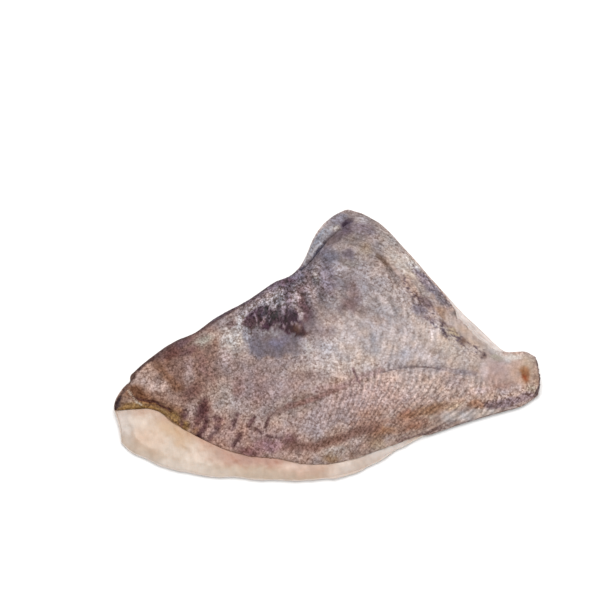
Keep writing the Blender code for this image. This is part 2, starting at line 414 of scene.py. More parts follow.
# %% Creases of the skin
CREASES = (
    # path, depth, half-width
    (((-8.5, 40.5), (-3, 45), (2, 49.5), (8, 56), (13, 60.5), (19.5, 66.5)), 1.3, 0.9),
    (((30.5, 46.5), (33, 43.5), (35.5, 39.5), (38.5, 34.5)), 0.5, 1.6),
    (((-105, -20), (-98, -24), (-91, -26), (-86, -28.5), (-80, -34.5)), 0.8, 0.9),
    (((-104, -20.5), (-101.5, -24), (-99, -27.5)), -0.35, 0.6),
    (((-89, -4), (-83, -11), (-79, -19), (-76, -27)), 0.5, 2.2),
    (((28, -21.8), (40, -20.2), (52, -20), (60, -21.5), (72, -25)), 0.35, 0.8),
    (((13.6, -20), (14.6, -24), (16.4, -28.5)), 0.4, 0.7),
    (((-22, -38), (-10, -36), (0, -32.5), (12, -28)), 0.5, 1.4),
    (((-24, -57.5), (-10, -59.5), (2, -57.5), (14, -53.5), (24, -51)), 0.6, 1.4),
    (((24, -50.5), (38, -48), (50, -44), (62, -41)), 0.4, 1.6),
)
RIB_FOLDS = (
    # path, half-width
    (((-65.5, -29.5), (-67, -33.5), (-68.5, -37), (-71, -40.5)), 2.2),
    (((-75.5, -33), (-77, -37.5), (-78.5, -41.5)), 1.3),
    (((-65, -38.5), (-66.4, -42.5), (-69.4, -46.5)), 1.9),
    (((-60.8, -38.5), (-57.8, -40.8), (-59.7, -44.1), (-60.6, -46.8), (-64.4, -49.7)), 1.4),
    (((-48.5, -39.2), (-52.2, -44.8)), 1.3),
    (((-48, -48.6), (-49.8, -51.7), (-52.1, -54.1)), 1.2),
    (((-40, -41.5), (-43, -45.7)), 0.9),
    (((-32.3, -43), (-34.8, -47)), 0.7),
    (((-39, -48.3), (-37.2, -49.4)), 0.8),
    (((-33.8, -51.2), (-31.8, -51.9)), 0.9),
    (((-29.4, -52.4), (-26.2, -53.2)), 0.7),
)
FIN_MOUNDS = ((46, 42), (58, 26), (68, 12), (80, -4), (88, -13))
MOUND_HEIGHT, MOUND_PITCH, MOUND_HALF_WIDTH = 0.28, 7.5, 4.0
RIB_DEPTH, ROW_DEPTH, ROW_PITCH, ROW_HALF_WIDTH = 0.8, 0.2, 3.3, 0.9
NECK, NECK_RADII, NECK_DEPTH, NECK_PITCH, NECK_HALF_WIDTH = (92, -27), (9, 9), 0.22, 2.2, 0.5


def bent(points, amount, size, seed):
    """The points shifted by two clouds, which makes any area drawn on them ragged."""
    clouds = (cloud(points, size, seed), cloud(points, size, seed + 9))
    return points + amount * np.stack(clouds, -1)


def stripe(points, path, half_width, soft=0.6):
    """1 along a path and 0 away from it, with an S-curve over a soft share of its half-width."""
    distance = distance_to(path, points) / half_width
    return 1 - smooth_step(1 - soft, 1 + soft, distance)


def rib_grooves(points):
    """Grooves between the ribs' wrinkles: 1 along each fold and 0 away from it. Clouds make the
    folds wander and break them up."""
    ragged = bent(points, 0.6, 3.0, 41)
    folds = [stripe(ragged, path, half_width, 0.9) for path, half_width in RIB_FOLDS]
    return np.max(folds, axis=0) * smooth_step(-1.5, 0.1, cloud(points, 2.2, 45, layers=2))


def row_grooves(points):
    """Fine broken grooves between the rows of muscle, from the middle of the fillet to its neck and
    deepest below the midline."""
    area = smooth_step(-30, 25, points[..., 0]) * smooth_step(98, 84, points[..., 0])
    below = smooth_step(3, -4, points[..., 1] - smooth_curve(MIDLINE, points[..., 0]))
    broken = smooth_step(-1.3, 0.3, cloud(points, 3.6, 35, layers=2))
    wander = 0.8 * cloud(points, 7.0, 31)
    grooves = combed(row_coordinate(points) + wander, ROW_PITCH, ROW_HALF_WIDTH)
    return area * (0.45 + 0.55 * below) * broken * grooves


def skin_relief(points):
    """Rib and row grooves, creases, mounds of the fin's roots, wrinkles at the neck and soft
    clouds, in millimetres above the flesh's own form."""
    height = 0.25 * cloud(points, 14.0, 51) + 0.14 * cloud(points, 4.2, 57, layers=2)
    height = height - RIB_DEPTH * rib_grooves(points) - ROW_DEPTH * row_grooves(points)
    for path, depth, half_width in CREASES:
        height = height - depth * furrow(points, path, half_width)
    mounds = np.cos(2 * np.pi * (points[..., 0] - points[..., 1]) / MOUND_PITCH)
    height = height + MOUND_HEIGHT * mounds * furrow(points, FIN_MOUNDS, MOUND_HALF_WIDTH)
    wander = 0.5 * cloud(points, 6.0, 47)
    neck = combed(points[..., 0] + wander, NECK_PITCH, NECK_HALF_WIDTH)
    return height - NECK_DEPTH * neck * swelling(points, NECK, NECK_RADII)


# %% [markdown]
# ## The flesh
#
# Under the skin lies the muscle. It shows as a pale crescent outside the skin's lower edge, at the
# cut sides and from below, where two seams part the three muscles. One closed slab gives all of
# this. Its rows are spent on the crescent, because the rest of its top is hidden.

# %% Flesh surfaces
FLESH_COLUMNS, APRON_ROWS, COVERED_ROWS = 300, 30, 46
SEAM_SHARES, SEAM_DEPTH, SEAM_HALF_WIDTH = (8 / 25, 16 / 25), 1.3, 3.4
ROOM_FOR_CREASES = 1.6


def flesh_relief(points, bare):
    """Soft clouds and faint flakes across the bare apron, in millimetres."""
    flakes = np.cos(2 * np.pi * (points[..., 0] * 0.9 + points[..., 1] * 0.45) / 4.6
                    + 2.0 * cloud(points, 14.0, 61))
    return bare * (0.04 * flakes + 0.22 * cloud(points, 11.0, 63) + 0.08 * cloud(points, 3.0, 67))


def under_the_skin(points, skin, trimmed):
    """0 at the skin's rim, rising to 1 a few millimetres inside it, and 0 on the bare strip."""
    rim = np.concatenate((skin, trimmed[::-1], skin[:1]))
    inside = smooth_step(0.8, 4.0, distance_to(rim[::2], points))
    below_trim = points[..., 1] < trimmed[None, :, 1] + 0 * points[..., 1]
    return inside * below_trim


def seam_height(plan, covered_rows, s):
    """Underside height: at each seam a bell curve of the distance across, deepest mid-length."""
    base = np.zeros(plan.shape[:2])
    covered = plan[-covered_rows:]
    width = np.linalg.norm(covered[-1] - covered[0], axis=-1)
    across = np.linspace(0, 1, covered_rows)[:, None] * width
    for share in SEAM_SHARES:
        bell = np.exp(-(((across - share * width) / SEAM_HALF_WIDTH) ** 2))
        base[-covered_rows:] += (0.4 + (SEAM_DEPTH - 0.4) * np.sin(np.pi * s)) * bell
    return base


s, belly, skin, back, wrapped, trimmed = fine_edges(FLESH_COLUMNS)
flesh_plan = np.concatenate((apron_plan(belly, skin, s, APRON_ROWS),
                             covered_plan(skin, back, s, COVERED_ROWS)))
is_covered = (np.arange(len(flesh_plan)) >= APRON_ROWS)[:, None] * np.ones(FLESH_COLUMNS)
flesh_z = flesh_height(flesh_plan, is_covered) + flesh_relief(flesh_plan, 1 - is_covered)
hidden = under_the_skin(flesh_plan, wrapped, trimmed) * is_covered
flesh_z -= ROOM_FOR_CREASES * hidden
flesh_top = np.concatenate((flesh_plan, flesh_z[..., None]), axis=-1)
under_z = seam_height(flesh_plan, COVERED_ROWS, s)
flesh_under = np.concatenate((flesh_plan, under_z[..., None]), axis=-1)

# %% Flesh wall
FLESH_RINGS = 9


def cut_bulge(rim, rings):
    """How far each ring of the cut side stands out: a half sine down the wall, plus flakes whose
    edges wander along the rim."""
    down = np.linspace(0, 1, rings + 2)[1:-1, None]
    along = np.concatenate(((0,), np.cumsum(np.linalg.norm(np.diff(rim[:, :2], axis=0), axis=1))))
    place = np.stack(np.broadcast_arrays(along, down * rim[:, 2]), axis=-1)
    high = np.clip(rim[:, 2] / 6, 0.3, 1)
    return high * (0.4 * np.sin(np.pi * down) + 0.35 * cloud(place * (0.35, 1), 1.5, 71, layers=2))


flesh_rings = wall_rings(flesh_top, flesh_under, cut_bulge(rim_of(flesh_top), FLESH_RINGS))
flesh_piece = slab_object("muscle", flesh_top, flesh_under, flesh_rings)

# %% [markdown]
# ## The skin
#
# The skin lies on the flesh like wet cloth, about a millimetre thick. Its top is the flesh's own
# height plus the relief, its underside rests just over the flesh, and its rim is rounded, because
# cut skin curls over a little.

# %% Skin surfaces
SKIN_COLUMNS, SKIN_ROWS = 318, 146
SKIN_GAP, SKIN_THICKNESS, RIM_ROUNDING, CURL = 0.12, 0.95, 1.1, 1.3
SKIN_BULGES = ((0.18,), (0.18,))


def surface_normals(grid):
    """Unit normals of a grid of points: the cross product of its two directions."""
    normal = np.cross(np.gradient(grid, axis=1), np.gradient(grid, axis=0))
    return normal / np.linalg.norm(normal, axis=-1, keepdims=True)


s, *_, wrapped, trimmed = fine_edges(SKIN_COLUMNS)
skin_plan = covered_plan(wrapped, trimmed, s, SKIN_ROWS)
above_edge = skin_plan[..., 1] > smooth_curve(SKIN_EDGE, skin_plan[..., 0])
above_edge = np.maximum(above_edge, 1 - smooth_step(30, 42, skin_plan[..., 0]))
skin_base = np.concatenate((skin_plan, flesh_height(skin_plan, above_edge)[..., None]), axis=-1)
lift = surface_normals(skin_base)
rim_distance = distance_to(np.concatenate((rim_of(skin_plan)[::3], skin_plan[:1, 0])), skin_plan)
roundness = np.sqrt(1 - (1 - np.clip(rim_distance / RIM_ROUNDING, 0, 1)) ** 2)
thickness = SKIN_THICKNESS * (0.35 + 0.65 * roundness)
relief = skin_relief(skin_plan) * smooth_step(0, 3, rim_distance)
lower_rim = distance_to(wrapped[::2], skin_plan)
skin_base[..., 2] -= CURL * (1 - smooth_step(0, 1.8, lower_rim)) * wrap(skin_plan[..., 0])
skin_top = skin_base + lift * (SKIN_GAP + thickness + relief)[..., None]
skin_under = skin_base + lift * (SKIN_GAP + np.minimum(relief, 0))[..., None]
skin_rings = wall_rings(skin_top, skin_under, SKIN_BULGES)
skin_piece = slab_object("mottled_skin", skin_top, skin_under, skin_rings)

# %% [markdown]
# ## Colours of the skin
#
# The skin's colour isn't one pattern but many marks, each with its own place: the round dark spot,
# blue-grey over the nape, brown along the belly furrows, cream beside the spot, a stain at the
# tail. A painted image would hold them, but here each mark is a named area with a colour and a
# strength, painted over the last ones into a colour attribute. Noise bends the areas first, so
# that none keeps a clean rim.

# %% Painting helpers
FLESH_LIGHT, FLESH_GLOSS = 1.05, 0.015
SKIN_LIGHT, SKIN_GLOSS = 1.0, 0.02


def oval(points, centre, radii, turn=0.0, soft=0.5):
    """1 inside a turned ellipse and 0 outside it, with an S-curve over a soft share of its
    radius."""
    angle = math.radians(turn)
    offset = points - centre
    along = offset[..., 0] * math.cos(angle) + offset[..., 1] * math.sin(angle)
    side = offset[..., 1] * math.cos(angle) - offset[..., 0] * math.sin(angle)
    distance = np.hypot(along / radii[0], side / radii[1])
    return 1 - smooth_step(1 - soft, 1 + soft, distance)


def paint(colours, colour, weight):
    """The colours moved towards a new one by the weight."""
    return colours + (np.array(colour, float) - colours) * weight[..., None]


def plain(points, colour):
    """One colour for all the points."""
    return np.broadcast_to(np.array(colour, float), (*points.shape[:-1], 3)).copy()


def paint_marks(colours, marks, place):
    """The colours with each mark's oval painted over them in turn."""
    for x, y, long, short, turn, soft, colour, strength in marks:
        colours = paint(colours, colour, strength * oval(place, (x, y), (long, short), turn, soft))
    return colours


def linear(colour, light, gloss):
    """Surface colours that look like these display values from 0 to 255 under this scene's light,
    which adds a little gloss and brightens everything by the same share."""
    share = np.clip(np.asarray(colour, float) / 255, 0, 1)
    shown = np.where(share < 0.04045, share / 12.92, ((share + 0.055) / 1.055) ** 2.4)
    return np.maximum(shown - gloss, 0.004) / light


# %% Broad tones
GROUND = (182, 157, 146)
BROAD_TONES = (
    # x, y, long radius, short radius, turn, softness, colour, strength
    (45, -3, 38, 17, -25, 0.6, (194, 183, 185), 0.9),  # pale flank towards the tail
    (12, -9, 28, 12, -8, 0.7, (187, 175, 173), 0.8),
    (28, 19, 22, 13, -25, 0.7, (166, 155, 154), 0.8),
    (16, 36, 18, 20, -20, 0.6, (160, 148, 148), 0.9),  # grey nape
    (25, 58, 18, 11, -35, 0.6, (133, 120, 117), 0.85),
    (-4, 26, 20, 14, 20, 0.6, (118, 106, 108), 0.85),
    (-28, 22, 26, 8, 27, 0.6, (131, 127, 131), 0.7),  # along the head cut
    (-14, 36, 12, 6, 24, 0.7, (97, 92, 113), 0.8),
    (-45, 4, 9, 13, 8, 0.6, (168, 158, 154), 0.9),  # cream beside the spot
    (-30, -15, 30, 8, -8, 0.7, (137, 119, 117), 0.9),
    (-38, -28, 24, 8, -8, 0.7, (133, 109, 108), 0.85),
    (-8, 11, 6, 13, 10, 0.8, (109, 95, 99), 0.8),  # shade behind the spot
    (4, -17, 26, 6, 8, 0.7, (196, 178, 169), 0.8),
    (-74, -8, 22, 20, 35, 0.6, (126, 96, 84), 0.95),  # brown head end
    (-54, -29, 9, 9, 0, 0.7, (158, 144, 138), 0.8),  # bare-looking patch by the ribs
    (-30, -38, 22, 5, -2, 0.7, (149, 132, 128), 0.8),
    (-48, -49, 34, 9, -20, 0.6, (163, 131, 121), 0.9),  # mauve lower edge
    (0, -47, 26, 6, 10, 0.6, (166, 146, 145), 0.8),
    (-4, -37, 16, 4, 14, 0.7, (118, 100, 92), 0.8),
    (28, -37, 30, 8, 6, 0.6, (191, 163, 157), 0.85),
    (60, -31, 26, 7, -2, 0.6, (205, 179, 167), 0.9),
    (64, -8, 22, 9, -42, 0.6, (184, 164, 151), 0.7),
)

# %% Marks of the head end and the spot
HEAD_MARKS = (
    (-80, 0, 5, 3, 30, 0.7, (77, 40, 34), 0.8),  # liver-brown cloud by the head cut
    (-74, 6, 5, 2.5, 30, 0.7, (122, 87, 95), 0.7),
    (-63, 5, 6, 3.5, 25, 0.7, (173, 173, 164), 0.7),
    (-95, -10, 5, 8, 5, 0.6, (175, 147, 134), 0.85),  # two pale patches: painted light on the cheek bulge's upper side
    (-87.5, -18.3, 5.5, 3, -20, 0.6, (195, 171, 163), 0.85),
    (-72, -8, 3, 4, 0, 0.6, (170, 145, 143), 0.6),
    (-72, -15, 3, 4, 0, 0.6, (163, 143, 138), 0.6),
    (-64, -10, 2, 7, 8, 0.7, (127, 94, 88), 0.7),
    (-60, -16, 1.6, 6, 10, 0.7, (136, 105, 96), 0.6),
    (-71, -23.5, 6, 3.5, 25, 0.7, (103, 72, 65), 0.8),
    (-65.5, -34, 3.4, 4.5, -25, 0.6, (88, 49, 46), 0.85),  # dark ends of the first ribs
    (-79, -33, 4, 3, -40, 0.6, (122, 84, 58), 0.8),
    (-71, -45, 2.2, 3, 0, 0.7, (150, 106, 70), 0.7),
    (-44, -58, 6, 2.4, -12, 0.6, (119, 83, 84), 0.8),
    (-34, -56, 7, 3, -8, 0.6, (157, 118, 121), 0.8),
    (-22, -55, 4, 3, 0, 0.7, (117, 78, 79), 0.7),
    (-28, -41, 6, 1.6, 12, 0.7, (120, 95, 89), 0.7),
    (-53, 17, 8, 2.4, 30, 0.7, (188, 180, 180), 0.8),
    (-41, 19, 6, 2.4, 20, 0.7, (171, 166, 172), 0.7),
    (-100, -20.5, 6.5, 4.5, -30, 0.5, (104, 66, 44), 0.85),
    (-50, 1, 5, 4, 40, 0.7, (191, 188, 188), 0.6),
    (-45, -24, 2, 5, 6, 0.7, (162, 129, 124), 0.6),
    (-37, -20, 1.8, 6, 6, 0.7, (145, 120, 116), 0.6),
    (-48, -26, 2.5, 5, 0, 0.7, (122, 89, 82), 0.7),
    (-48, 12, 3, 2.4, 20, 0.6, (100, 71, 65), 0.7),
    (-52, -8, 3, 6, 0, 0.7, (184, 163, 162), 0.6),
    (-41, -4, 2, 3, 0, 0.6, (169, 151, 145), 0.7),
    (-26, -28, 6, 3, 10, 0.7, (185, 161, 156), 0.7),
    (-10, -22, 9, 3.2, -12, 0.7, (139, 115, 109), 0.8),  # brown shade over the midline
    (-9.5, -6, 2.6, 5, 30, 0.7, (171, 165, 163), 0.6),
    (1, 2, 5, 4, 0, 0.7, (143, 126, 127), 0.8),
    (3, 26, 4, 4, 0, 0.7, (95, 76, 75), 0.7),
    (-71, -0.5, 6, 2.5, 20, 0.6, (100, 70, 72), 0.6),
)
SPOT_MARKS = (
    (-25.5, 4.5, 16, 14.5, 0, 0.10, (108, 97, 102), 0.95),  # the grey spot
    (-36, -4, 6, 4.5, -40, 0.5, (110, 104, 115), 0.75),
    (-24, -2, 5, 3, 10, 0.6, (118, 110, 126), 0.8),
    (-15, -7, 3.5, 3.5, 0, 0.6, (116, 106, 111), 0.8),
    (-11, -4, 1.6, 4.5, 8, 0.6, (142, 129, 144), 0.7),
    (-40, 3, 2, 6, -8, 0.6, (158, 159, 171), 0.6),
)
BLACK_MARKS = (
    (-33, 16, 6, 3.5, 40, 0.35, (74, 58, 68), 0.85),  # its black upper half
    (-32, 11.5, 3.5, 2.6, 0, 0.4, (62, 46, 54), 0.9),
    (-25, 12, 13, 6.2, -5, 0.2, (62, 37, 50), 0.95),
    (-35, 11, 6, 3.2, 10, 0.35, (64, 37, 45), 0.9),
    (-18, 8.5, 8, 6, -25, 0.2, (58, 34, 45), 0.95),
    (-13, 3, 5, 2.2, -15, 0.3, (62, 38, 38), 0.95),
    (-24, 33, 4, 2.2, 20, 0.6, (51, 31, 43), 0.8),  # dark marks between it and the cut
    (-16, 33, 4, 3, 20, 0.6, (78, 49, 59), 0.8),
    (-34, 26, 7, 1.8, 24, 0.6, (60, 52, 66), 0.8),
    (-10, 22, 2.2, 9, 8, 0.6, (81, 57, 56), 0.8),
    (-8, 14, 2.4, 5, 10, 0.6, (77, 48, 54), 0.7),
    (-16.5, 22, 1.8, 11, 4, 0.6, (78, 62, 70), 0.75),
    (-24, 29, 2, 3, 10, 0.6, (100, 86, 94), 0.7),
    (-36, 26, 3, 2.4, 25, 0.6, (92, 78, 86), 0.7),
    (-6, 28, 3, 3, 0, 0.6, (108, 92, 96), 0.7),
)
PALE_MARKS = (
    (-34, 8.4, 3, 1.2, 0, 0.5, (124, 106, 108), 0.7),  # paler scales left in the black
    (-29.5, 14, 1.4, 2.2, 20, 0.5, (92, 90, 100), 0.7),
    (-24.5, 7.5, 2, 2, 20, 0.5, (108, 96, 96), 0.8),
    (-28, 4, 7, 1.5, -8, 0.5, (148, 140, 144), 0.8),
    (-21, 13.5, 1.2, 2.4, 10, 0.5, (104, 90, 92), 0.7),
    (-13.5, 6, 2.6, 2, 0, 0.5, (100, 74, 60), 0.7),
    (-11.5, 12.5, 1.6, 2.4, 30, 0.5, (180, 164, 164), 0.7),
    (-4, 24, 2.2, 4, 10, 0.6, (136, 120, 118), 0.7),  # cream between the dark marks
    (-12, 23, 1.6, 3.5, 10, 0.6, (160, 144, 144), 0.7),
    (-20, 28, 1.8, 2.6, 10, 0.6, (176, 160, 164), 0.7),
    (-20, 16, 1.4, 2, 10, 0.6, (146, 134, 140), 0.7),
    (-28, 23, 4, 2, 15, 0.6, (185, 177, 182), 0.8),
    (-38, 21, 3, 2, 20, 0.6, (190, 184, 194), 0.8),
    (-25, 20, 3.4, 2.4, 0, 0.6, (182, 168, 170), 0.8),
)

# %% Marks of the nape, the fin's roots, the belly and the tail
NAPE_MARKS = (
    (3, 55, 4, 13, -38, 0.5, (166, 163, 170), 0.9),  # blue-grey roll at the nape, lightened by painted sheen
    (13, 68, 5, 4, 35, 0.6, (123, 122, 139), 0.7),
    # painted shade in the end of the nape's fold
    (17, 63.5, 2.8, 5.5, -38, 0.6, (62, 50, 65), 0.95),
    (14, 57.5, 6, 4, 30, 0.6, (86, 66, 78), 0.8),
    (26, 60, 6, 4, -20, 0.7, (136, 121, 132), 0.7),
    (25, 66, 4, 2.5, -20, 0.6, (194, 182, 181), 0.7),
    (30, 54, 5, 3.5, -30, 0.7, (178, 161, 157), 0.7),
    (10, 36, 4, 3, 0, 0.7, (187, 177, 181), 0.7),
    (18, 39.5, 4, 2, 0, 0.7, (127, 116, 109), 0.7),
    (40, 54, 3.5, 8, 38, 0.7, (160, 154, 153), 0.7),
    (17, 53, 9, 3, -12, 0.7, (133, 120, 116), 0.8),  # tan band under the roll
    (26, 46, 4, 3.5, 0, 0.7, (165, 145, 127), 0.7),
    (7, 44, 5.5, 4, 0, 0.7, (102, 96, 104), 0.8),  # slate patches below the fold
    (17, 45, 3, 3, 0, 0.7, (74, 63, 75), 0.6),
    (5, 32, 3.5, 9, 4, 0.6, (119, 108, 118), 0.8),
    (-5, 33, 2, 5, 8, 0.6, (83, 64, 59), 0.7),
    (-1, 33, 1.6, 3.5, 8, 0.6, (139, 128, 121), 0.6),
    (18, 24, 3, 5, 20, 0.7, (128, 100, 94), 0.7),
    (8, 17, 5, 6, 0, 0.8, (157, 144, 142), 0.6),
    (15.5, 16, 4.5, 4, 0, 0.7, (112, 87, 85), 0.8),  # brown cloud on the shoulder
    (21, 12, 4, 3, -30, 0.7, (142, 121, 115), 0.7),
    (29, 6, 5, 3, -20, 0.8, (180, 153, 140), 0.6),
    (12.5, 61, 3, 3, -38, 0.6, (207, 201, 192), 0.6),
)
FIN_MARKS = (
    (45, 38, 4, 13, 40, 0.6, (192, 178, 168), 0.9),  # cream strip inside the fin's roots
    (50, 41, 3, 6, 40, 0.6, (203, 192, 184), 0.8),
    (54, 23, 2.6, 7, 36, 0.6, (170, 157, 153), 0.8),
    (58, 27, 3.4, 11, 38, 0.3, (142, 130, 136), 0.95),  # dark root, lightly flecked
    (64, 18, 2.6, 4, 38, 0.5, (138, 126, 127), 0.85),
    (55, 31, 2, 5, 38, 0.6, (168, 150, 157), 0.7),
    (54, 16, 2.4, 5.5, 44, 0.5, (118, 98, 97), 0.85),  # chain of dark marks along it
    (51.5, 11.5, 2.4, 4, 50, 0.6, (132, 120, 129), 0.8),
    (56, 5.5, 2.2, 4.5, 48, 0.6, (161, 141, 138), 0.8),
    (64, 3, 1.6, 4, 60, 0.6, (123, 98, 87), 0.7),
    (70, 10.5, 2.2, 1.6, 30, 0.6, (119, 107, 102), 0.8),
    (63.5, 9.5, 2.4, 4.5, 40, 0.6, (155, 120, 97), 0.8),
    (72.5, -7.5, 2.8, 2.6, 0, 0.6, (111, 86, 78), 0.8),
    (68, -2.5, 2.4, 3.5, 40, 0.6, (184, 158, 128), 0.8),
    (58, -12.5, 4, 2, -10, 0.7, (147, 129, 120), 0.7),
    (58, -3, 4, 5, 40, 0.7, (221, 205, 201), 0.7),
    (83.5, -15.5, 1.8, 2.2, 0, 0.5, (120, 98, 92), 0.8),
    (87, -12.5, 1.4, 2.6, 20, 0.5, (112, 98, 100), 0.75),
    (82.5, -11, 1.4, 1.2, 0, 0.6, (232, 216, 203), 0.8),
    (90, -17, 4, 2, -20, 0.6, (160, 153, 134), 0.7),
    (73, 1, 3, 11, 44, 0.6, (189, 169, 158), 0.9),  # pink edge where the skin thins
    (88, -11, 7, 2.8, -42, 0.6, (211, 197, 188), 0.85),
    (79, -8, 4, 1.6, -40, 0.6, (202, 180, 165), 0.7),
    (66, -10, 6, 5, -30, 0.7, (195, 179, 167), 0.5),
)
BELLY_MARKS = (
    (26, -53.5, 7, 2.4, 5, 0.6, (168, 120, 90), 0.8),  # rust stains along the belly
    (40, -46, 6, 2, 15, 0.6, (174, 121, 105), 0.7),
    (42, -51.5, 7, 1.8, 10, 0.6, (138, 98, 80), 0.8),
    (50.5, -47, 4, 1.8, 10, 0.6, (186, 166, 152), 0.7),
    (35, -42, 4, 2, 0, 0.7, (204, 172, 162), 0.6),
    (54, -43, 6, 2.2, 12, 0.7, (168, 124, 94), 0.7),
    (65, -42.5, 5, 1.8, 8, 0.6, (214, 184, 156), 0.7),
    (78, -41.3, 4.5, 1.7, 0, 0.5, (172, 130, 107), 0.9),
    (22, -44, 7, 3, 10, 0.7, (173, 130, 109), 0.6),
    (12, -61, 9, 2, 12, 0.6, (188, 155, 142), 0.7),
    (-1, -65, 4, 1.8, 0, 0.6, (141, 112, 84), 0.7),  # olive rim
    (22, -58.5, 4, 2, 12, 0.6, (162, 131, 106), 0.7),
    (-10, -50, 8, 3, 5, 0.7, (177, 158, 156), 0.7),  # painted highlight lying on the belly
    (21, -56, 4.5, 2, 12, 0.6, (135, 105, 90), 0.7),
    (24, -60.3, 3.5, 1.6, 12, 0.6, (207, 185, 165), 0.7),
    (66, -29.8, 7, 3.4, 0, 0.7, (169, 144, 137), 0.6),
    (80, -35, 7, 1.6, 5, 0.7, (215, 191, 191), 0.6),
    (68, -39.6, 5, 1.6, 5, 0.7, (217, 183, 163), 0.6),
    (26, -37.5, 4, 2.4, 5, 0.7, (204, 180, 177), 0.7),
    (10, -35.5, 5, 2, 10, 0.7, (142, 112, 103), 0.6),
    (2, -62, 7, 2, 5, 0.7, (164, 156, 153), 0.6),
)
TAIL_MARKS = (
    (89, -26, 7, 7, 0, 0.5, (181, 155, 149), 0.85),  # pink neck
    (82, -24, 2.4, 4, 0, 0.6, (214, 194, 192), 0.7),
    (94, -34.5, 6, 2.6, 5, 0.6, (167, 154, 158), 0.7),
    (92, -32.5, 6, 1.6, 5, 0.6, (155, 123, 113), 0.6),
    (99, -17, 5, 2.4, 0, 0.6, (210, 201, 193), 0.8),
    (105.5, -23, 3.2, 6.5, -4, 0.6, (183, 160, 140), 0.85),
    (104, -27, 1.9, 4.4, -6, 0.6, (149, 102, 72), 0.9),  # rust spot in the tail's hollow
    (103.6, -28.6, 1, 1.6, 0, 0.6, (125, 63, 45), 0.7),
    (109, -27, 1.6, 8, 3, 0.6, (162, 136, 119), 0.7),
    (108, -19, 2.6, 2, 0, 0.6, (192, 168, 148), 0.6),
    (106.5, -35, 2.6, 2.4, 0, 0.6, (191, 178, 157), 0.6),
)

# %% Lines along creases and rims
LINES = (
    # path, half-width, colour, strength
    (((-110.5, -27.5), (-98, -27.6), (-90.5, -28.6), (-84, -33), (-76.5, -40.5)), 2.6,
     (130, 98, 56), 0.9),  # olive rim below the cheek
    (((-103.5, -19), (-100, -22.6), (-93, -25), (-87.5, -26.8), (-83, -30.5)), 2.4,
     (112, 78, 58), 0.6),  # brown about the cheek's crease
    # painted shade in the crease under the cheek's bulge
    (((-102, -22), (-98, -24.2), (-91, -25.8), (-87.5, -28), (-84, -31)), 0.75,
     (74, 44, 32), 0.85),
    (((-104.5, -18), (-101.8, -23.5), (-99, -27)), 0.45, (196, 182, 168), 0.8),
    (((-112, -27.5), (-108.5, -21), (-103.5, -13), (-98, -7)), 1.2, (88, 66, 58), 0.85),
    (((-111.5, -26), (-106, -22.5)), 2.4, (118, 90, 74), 0.75),
    (((-112.4, -28.2), (-110.8, -24.6), (-109, -22)), 1.2, (52, 38, 36), 0.9),
    (((-89, -3), (-87, -10), (-82.5, -15), (-79, -20)), 2.2, (120, 86, 66), 0.75),
    (((-98, -7), (-87, 1.5), (-76, 7), (-62, 13), (-45, 22)), 1.5,
     (70, 52, 50), 0.85),  # dark rim of the head cut
    (((-88, -2), (-76, 4), (-62, 10), (-46, 19), (-30, 27)), 3.4, (104, 82, 80), 0.45),
    # painted shade deepening one rib fold
    (((-65, -39.5), (-66.6, -43), (-69.4, -46.5)), 1.1, (84, 54, 52), 0.8),
    (((-22, -38), (-10, -36), (0, -32.5), (8, -29.5)), 1.7, (132, 98, 90), 0.8),
    (((-6, -30), (8, -29), (20, -24.5), (28, -22.5)), 1.8, (168, 137, 133), 0.6),
    (((28, -23.4), (36, -21.5), (44, -20.3), (52, -20.8), (60, -22.2)), 0.7,
     (118, 102, 100), 0.75),  # midline towards the tail
    (((58, -22), (66, -23.8), (78, -25.8)), 1.6, (150, 135, 138), 0.6),
    (((13.6, -20), (14.6, -24), (16.4, -28.5)), 0.6, (118, 90, 92), 0.8),
    (((-24, -57.5), (-10, -59.5), (2, -56.8), (14, -53.2), (24, -51.3)), 2.1,
     (132, 98, 87), 0.85),  # brown furrows of the belly
    (((36, -48.5), (44, -45.8), (52, -43.8), (60, -41.2)), 2.2, (148, 113, 90), 0.65),
    (((10, -50), (24, -49.5), (38, -49), (50, -48.5)), 1.5, (166, 130, 116), 0.7),
    (((34, -58), (46, -54.8), (57, -51.5)), 0.8, (136, 108, 102), 0.75),
    (((60, -47), (65, -46.5), (72, -46.5), (86, -44.6)), 2, (218, 203, 196), 0.9),
    (((61, -49.4), (66, -48)), 0.6, (150, 134, 130), 0.7),
    (((66, -50.5), (76, -48.4), (88, -46)), 0.7, (176, 160, 156), 0.7),
    (((83, -42), (92, -41.4), (99, -40.2), (106, -37.5)), 1.9, (132, 110, 114), 0.8),
    (((111.2, -17.5), (112, -26), (111.4, -33), (108.5, -37.5)), 0.8, (84, 68, 68), 0.85),
    # painted shade in and below the nape's fold
    (((-8.5, 40.5), (-3, 45), (2, 49.5), (6, 53.5)), 0.9, (48, 48, 62), 0.95),
    (((6, 53.5), (10, 57.5), (14, 61)), 1.2, (86, 74, 76), 0.8),
    (((-4, 43.5), (1, 46), (6, 50), (11, 54), (16, 58)), 2.4, (96, 85, 92), 0.6),
    # painted highlight streak along the nape's roll
    (((-6, 44), (-1, 53), (5, 61)), 0.8, (150, 152, 162), 0.6),
    (((32.5, 43.5), (35, 40), (38, 35)), 1.7, (104, 84, 72), 0.8),
    (((37, 36), (39.5, 31), (42, 27)), 1.6, (134, 122, 120), 0.6),
    (((-58, 16), (-40, 24.5), (-24, 33), (-11, 39.5)), 1, (78, 66, 76), 0.75),
)


